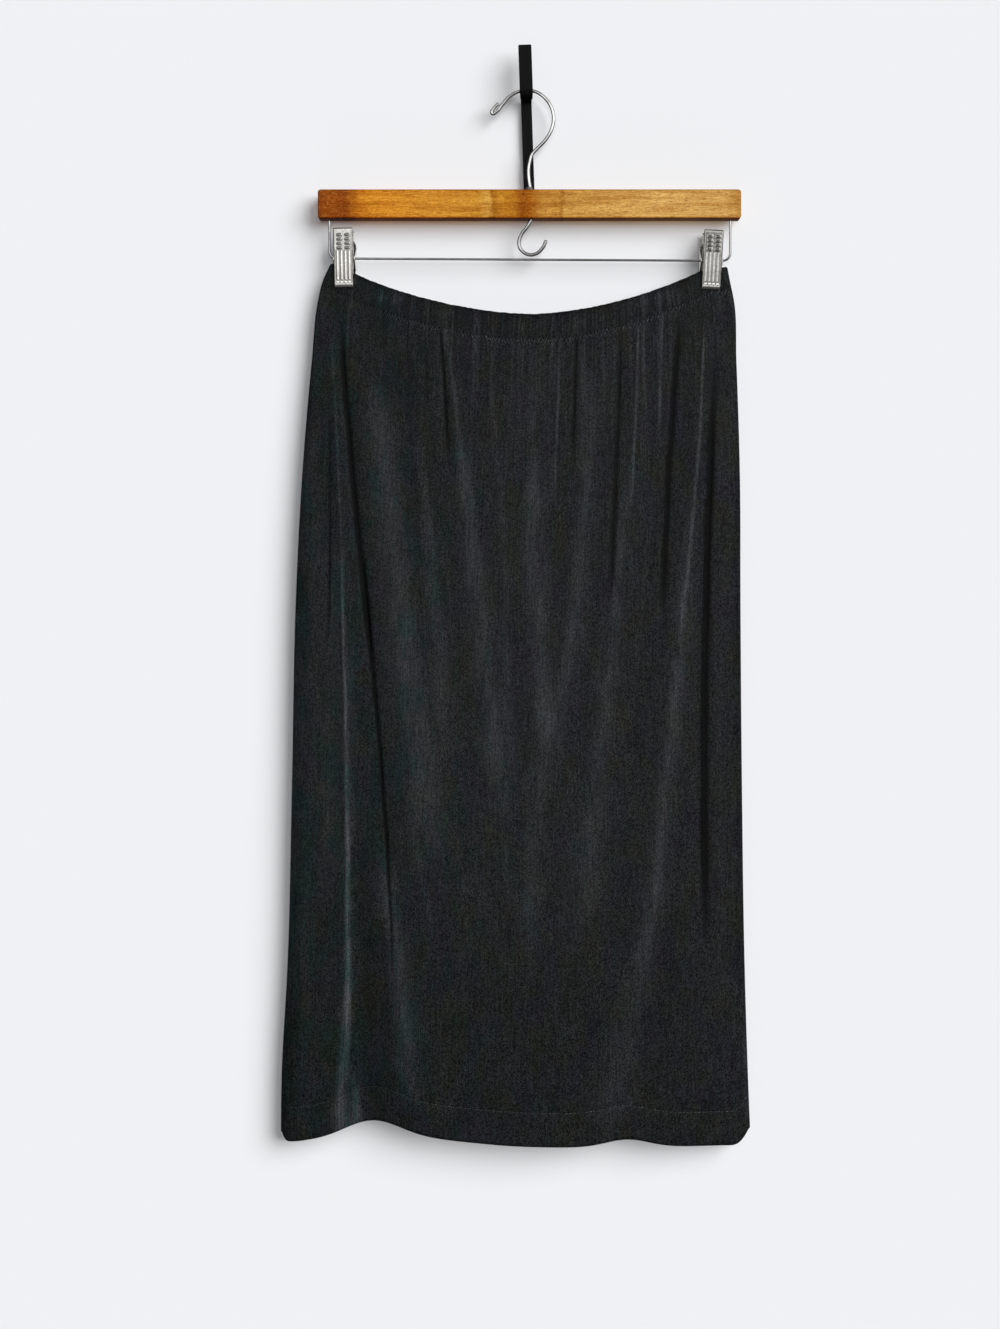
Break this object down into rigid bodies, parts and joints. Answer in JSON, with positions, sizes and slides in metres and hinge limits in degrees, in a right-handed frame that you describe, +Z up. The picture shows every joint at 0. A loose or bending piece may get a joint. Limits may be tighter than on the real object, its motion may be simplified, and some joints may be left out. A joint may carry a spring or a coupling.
{
  "type": "midi skirt on a clip hanger and wall hook",
  "caption": "Black slinky-knit pull-on midi skirt with a gathered elastic waist and turned-up hem, clipped to a wooden bar hanger that hangs on a flat strip wall hook.",
  "frame": {"origin": "middle of the wall hook's flat back face, on the wall that holds the part up", "axes": "+Z up, +Y into the wall, +X to the right as seen from the front; the wall is the plane y = 0"},
  "size_m": [0.3923, 0.0378, 0.9251],
  "materials": {
    "knit": "smooth slinky knit with a soft sheen",
    "wood": "stained and satin varnished",
    "chrome": "polished wire",
    "nickel": "nickel-plated pressed steel, slightly worn",
    "black_steel": "satin black paint"
  },
  "bodies": {
    "root": {"skirt_front": "knit", "skirt_back": "knit", "waistband_front": "knit", "waistband_back": "knit", "hanger_bar": "wood", "hanger_hook": "chrome", "hook_collar": "chrome", "clip_rail": "chrome", "clip_left_front_jaw": "nickel", "clip_left_back_jaw": "nickel", "clip_left_spring": "nickel", "clip_right_front_jaw": "nickel", "clip_right_back_jaw": "nickel", "clip_right_spring": "nickel", "wall_hook": "black_steel"}
  },
  "joints": []
}
